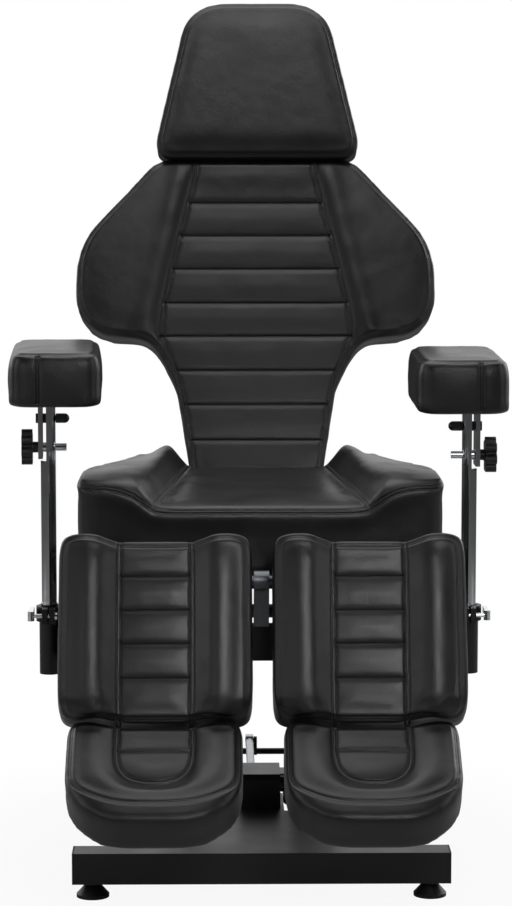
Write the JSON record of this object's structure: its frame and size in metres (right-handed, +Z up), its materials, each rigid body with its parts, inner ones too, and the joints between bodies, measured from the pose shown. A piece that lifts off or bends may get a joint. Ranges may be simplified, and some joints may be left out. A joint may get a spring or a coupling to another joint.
{
  "type": "tattoo chair",
  "caption": "Padded client chair on a scissor lift, with reclining winged back, sliding headrest, split leg rests with folding foot pads and post armrests.",
  "frame": {"origin": "on the floor under the middle of the overall box", "axes": "+Z up, the sitter faces -Y, +X on the sitter's left"},
  "size_m": [0.808, 1.1966, 1.4285],
  "materials": {
    "black_frame": "satin black powder coat",
    "bright_steel": "zinc plated",
    "chrome": "polished",
    "grey_steel": "satin",
    "black_rubber": "matte",
    "black_plastic": "fine grain",
    "black_leather": "satin synthetic leather",
    "plywood": "stained black"
  },
  "bodies": {
    "base": {"base_frame": "black_frame", "base_caps": "black_rubber", "lower_pivot_pins": "bright_steel", "pump_unit": "black_frame", "oil_hose": "black_rubber"},
    "pedal": {"pedal_bar": "black_frame"},
    "plunger": {"pump_plunger": "bright_steel"},
    "inner_arm": {"inner_arms": "black_frame", "centre_pins": "bright_steel"},
    "outer_arm": {"outer_arms": "black_frame"},
    "upper_roller": {"upper_rollers": "black_plastic"},
    "cylinder": {"lift_cylinder": "black_frame"},
    "ram": {"lift_ram": "chrome"},
    "seat": {"seat_frame": "black_frame", "upper_pivot_pins": "bright_steel", "hinge_shafts": "grey_steel", "clamp_collars": "black_frame", "clamp_bolts": "chrome", "seat_board": "plywood", "seat_cushion": "black_leather"},
    "back": {"back_frame": "black_frame", "back_board": "plywood", "back_cushion": "black_leather"},
    "back_strut": {"back_spring_tube": "black_frame"},
    "back_strut_rod": {"back_spring_rod": "chrome"},
    "head_carrier": {"head_rods": "chrome"},
    "head": {"head_plate": "black_frame", "head_cushion": "black_leather"},
    "level_left": {"level_foot_left": "black_rubber"},
    "lower_wheel_left": {"lower_roller_left": "black_plastic"},
    "lever_left": {"clamp_lever_left": "chrome"},
    "leg_left": {"leg_frame_left": "black_frame", "calf_pad_left": "black_leather"},
    "leg_strut_left": {"leg_spring_tube_left": "black_frame"},
    "leg_strut_rod_left": {"leg_spring_rod_left": "chrome"},
    "foot_carrier_left": {"foot_rods_left": "chrome"},
    "foot_rest_left": {"foot_tray_left": "black_frame", "foot_pad_left": "black_leather"},
    "bush_left": {"arm_bush_left": "black_plastic"},
    "post_left": {"arm_post_left": "chrome", "arm_bolts_left": "chrome"},
    "armrest_left": {"arm_bracket_left": "chrome", "arm_pad_left": "black_leather"},
    "knob_left": {"arm_knob_left": "black_plastic"},
    "level_right": {"level_foot_right": "black_rubber"},
    "lower_wheel_right": {"lower_roller_right": "black_plastic"},
    "lever_right": {"clamp_lever_right": "chrome"},
    "leg_right": {"leg_frame_right": "black_frame", "calf_pad_right": "black_leather"},
    "leg_strut_right": {"leg_spring_tube_right": "black_frame"},
    "leg_strut_rod_right": {"leg_spring_rod_right": "chrome"},
    "foot_carrier_right": {"foot_rods_right": "chrome"},
    "foot_rest_right": {"foot_tray_right": "black_frame", "foot_pad_right": "black_leather"},
    "bush_right": {"arm_bush_right": "black_plastic"},
    "post_right": {"arm_post_right": "chrome", "arm_bolts_right": "chrome"},
    "armrest_right": {"arm_bracket_right": "chrome", "arm_pad_right": "black_leather"},
    "knob_right": {"arm_knob_right": "black_plastic"}
  },
  "joints": [
    {"name": "lift", "type": "hinge", "parent": "base", "child": "inner_arm", "pos_m": [0, 0.298, 0.05], "axis": [-1, 0, 0], "range_deg": [-7.55, 26.26]},
    {"name": "scissor", "type": "hinge", "parent": "inner_arm", "child": "outer_arm", "pos_m": [0, 0.08145, 0.2275], "axis": [-1, 0, 0], "range_deg": [-53.52, 16.1]},
    {"name": "seat_level", "type": "hinge", "parent": "outer_arm", "child": "seat", "pos_m": [0, 0.298, 0.405], "axis": [-1, 0, 0], "range_deg": [-8.55, 27.26]},
    {"name": "upper_roll", "type": "hinge", "parent": "inner_arm", "child": "upper_roller", "pos_m": [0, -0.1351, 0.405], "axis": [-1, 0, 0], "continuous": true},
    {"name": "cylinder_swing", "type": "hinge", "parent": "base", "child": "cylinder", "pos_m": [0.075, 0.01961, 0.08], "axis": [-1, 0, 0], "range_deg": [-4.28, 13.63]},
    {"name": "ram_swing", "type": "hinge", "parent": "inner_arm", "child": "ram", "pos_m": [0.075, 0.19629, 0.31088], "axis": [-1, 0, 0], "range_deg": [-13.63, 4.28]},
    {"name": "pedal_press", "type": "hinge", "parent": "base", "child": "pedal", "pos_m": [0, 0.358, 0.092], "axis": [-1, 0, 0], "range_deg": [0, 18], "stiffness_Nm_per_rad": 2, "springref_deg": -28.65},
    {"name": "plunger_stroke", "type": "slide", "parent": "base", "child": "plunger", "axis": [0, 1, 0], "range_m": [-0.0005, 0.0066]},
    {"name": "recline", "type": "hinge", "parent": "seat", "child": "back", "pos_m": [0, 0.35499, 0.50679], "axis": [-1, 0, 0], "range_deg": [-5, 70]},
    {"name": "back_strut_swing", "type": "hinge", "parent": "seat", "child": "back_strut", "pos_m": [0, 0.19524, 0.44865], "axis": [-1, 0, 0], "range_deg": [-3, 36]},
    {"name": "back_rod_swing", "type": "hinge", "parent": "back", "child": "back_strut_rod", "pos_m": [0, 0.52241, 0.47727], "axis": [-1, 0, 0], "range_deg": [-36, 3]},
    {"name": "head_height", "type": "slide", "parent": "back", "child": "head_carrier", "axis": [0, 0.342, 0.9397], "range_m": [0, 0.07]},
    {"name": "head_tilt", "type": "hinge", "parent": "head_carrier", "child": "head", "pos_m": [0, 0.5725, 1.19428], "axis": [-1, 0, 0], "range_deg": [0, 30]},
    {"name": "level_left_screw", "type": "slide", "parent": "base", "child": "level_left", "axis": [0, 0, -1], "range_m": [0, 0.015]},
    {"name": "lower_roll_left", "type": "hinge", "parent": "outer_arm", "child": "lower_wheel_left", "pos_m": [-0.14, -0.1351, 0.05], "axis": [-1, 0, 0], "continuous": true},
    {"name": "leg_swing_left", "type": "hinge", "parent": "seat", "child": "leg_left", "pos_m": [-0.165, -0.26445, 0.50669], "axis": [-1, 0, 0], "range_deg": [-8, 70]},
    {"name": "leg_strut_swing_left", "type": "hinge", "parent": "seat", "child": "leg_strut_left", "pos_m": [-0.2, -0.12171, 0.46059], "axis": [-1, 0, 0], "range_deg": [-5, 36]},
    {"name": "leg_rod_swing_left", "type": "hinge", "parent": "leg_left", "child": "leg_strut_rod_left", "pos_m": [-0.2, -0.31575, 0.36574], "axis": [-1, 0, 0], "range_deg": [-36, 5]},
    {"name": "foot_reach_left", "type": "slide", "parent": "leg_left", "child": "foot_carrier_left", "axis": [0, -0.342, -0.9397], "range_m": [0, 0.08]},
    {"name": "foot_fold_left", "type": "hinge", "parent": "foot_carrier_left", "child": "foot_rest_left", "pos_m": [-0.165, -0.41722, 0.21417], "axis": [1, 0, 0], "range_deg": [0, 38]},
    {"name": "arm_height_left", "type": "slide", "parent": "seat", "child": "bush_left", "axis": [0, 0, 1], "range_m": [-0.014, 0.04]},
    {"name": "arm_swivel_left", "type": "hinge", "parent": "bush_left", "child": "post_left", "pos_m": [-0.349, 0.008, 0.328], "axis": [0, 0, 1], "range_deg": [-90, 90]},
    {"name": "arm_tilt_left", "type": "hinge", "parent": "post_left", "child": "armrest_left", "pos_m": [-0.349, 0.008, 0.734], "axis": [0.9993, 0.0384, 0], "range_deg": [-14, 14]},
    {"name": "knob_turn_left", "type": "hinge", "parent": "post_left", "child": "knob_left", "pos_m": [-0.349, 0.008, 0.686], "axis": [0.9993, 0.0384, 0], "continuous": true},
    {"name": "lever_open_left", "type": "hinge", "parent": "seat", "child": "lever_left", "pos_m": [-0.378, -0.0215, 0.4075], "axis": [0, 0, 1], "range_deg": [0, 100]},
    {"name": "level_right_screw", "type": "slide", "parent": "base", "child": "level_right", "axis": [0, 0, -1], "range_m": [0, 0.015]},
    {"name": "lower_roll_right", "type": "hinge", "parent": "outer_arm", "child": "lower_wheel_right", "pos_m": [0.14, -0.1351, 0.05], "axis": [-1, 0, 0], "continuous": true},
    {"name": "leg_swing_right", "type": "hinge", "parent": "seat", "child": "leg_right", "pos_m": [0.165, -0.26445, 0.50669], "axis": [-1, 0, 0], "range_deg": [-8, 70]},
    {"name": "leg_strut_swing_right", "type": "hinge", "parent": "seat", "child": "leg_strut_right", "pos_m": [0.2, -0.12171, 0.46059], "axis": [-1, 0, 0], "range_deg": [-5, 36]},
    {"name": "leg_rod_swing_right", "type": "hinge", "parent": "leg_right", "child": "leg_strut_rod_right", "pos_m": [0.2, -0.31575, 0.36574], "axis": [-1, 0, 0], "range_deg": [-36, 5]},
    {"name": "foot_reach_right", "type": "slide", "parent": "leg_right", "child": "foot_carrier_right", "axis": [0, -0.342, -0.9397], "range_m": [0, 0.08]},
    {"name": "foot_fold_right", "type": "hinge", "parent": "foot_carrier_right", "child": "foot_rest_right", "pos_m": [0.165, -0.41722, 0.21417], "axis": [1, 0, 0], "range_deg": [0, 38]},
    {"name": "arm_height_right", "type": "slide", "parent": "seat", "child": "bush_right", "axis": [0, 0, 1], "range_m": [0, 0.054]},
    {"name": "arm_swivel_right", "type": "hinge", "parent": "bush_right", "child": "post_right", "pos_m": [0.349, 0.008, 0.314], "axis": [0, 0, 1], "range_deg": [-90, 90]},
    {"name": "arm_tilt_right", "type": "hinge", "parent": "post_right", "child": "armrest_right", "pos_m": [0.349, 0.008, 0.72], "axis": [1, 0, 0], "range_deg": [-14, 14]},
    {"name": "knob_turn_right", "type": "hinge", "parent": "post_right", "child": "knob_right", "pos_m": [0.349, 0.008, 0.672], "axis": [1, 0, 0], "continuous": true},
    {"name": "lever_open_right", "type": "hinge", "parent": "seat", "child": "lever_right", "pos_m": [0.378, -0.0215, 0.4075], "axis": [0, 0, -1], "range_deg": [0, 100]}
  ],
  "couplings": [
    {"joint": "scissor", "follows": "lift", "ratio": -2},
    {"joint": "seat_level", "follows": "lift", "ratio": 1},
    {"joint": "cylinder_swing", "follows": "lift", "ratio": 0.5},
    {"joint": "ram_swing", "follows": "lift", "ratio": -0.5},
    {"joint": "plunger_stroke", "follows": "pedal_press", "m_per_rad": 0.02},
    {"joint": "back_strut_swing", "follows": "recline", "ratio": 0.5},
    {"joint": "back_rod_swing", "follows": "recline", "ratio": -0.5},
    {"joint": "leg_strut_swing_left", "follows": "leg_swing_left", "ratio": 0.5},
    {"joint": "leg_rod_swing_left", "follows": "leg_swing_left", "ratio": -0.5},
    {"joint": "leg_strut_swing_right", "follows": "leg_swing_right", "ratio": 0.5},
    {"joint": "leg_rod_swing_right", "follows": "leg_swing_right", "ratio": -0.5}
  ]
}
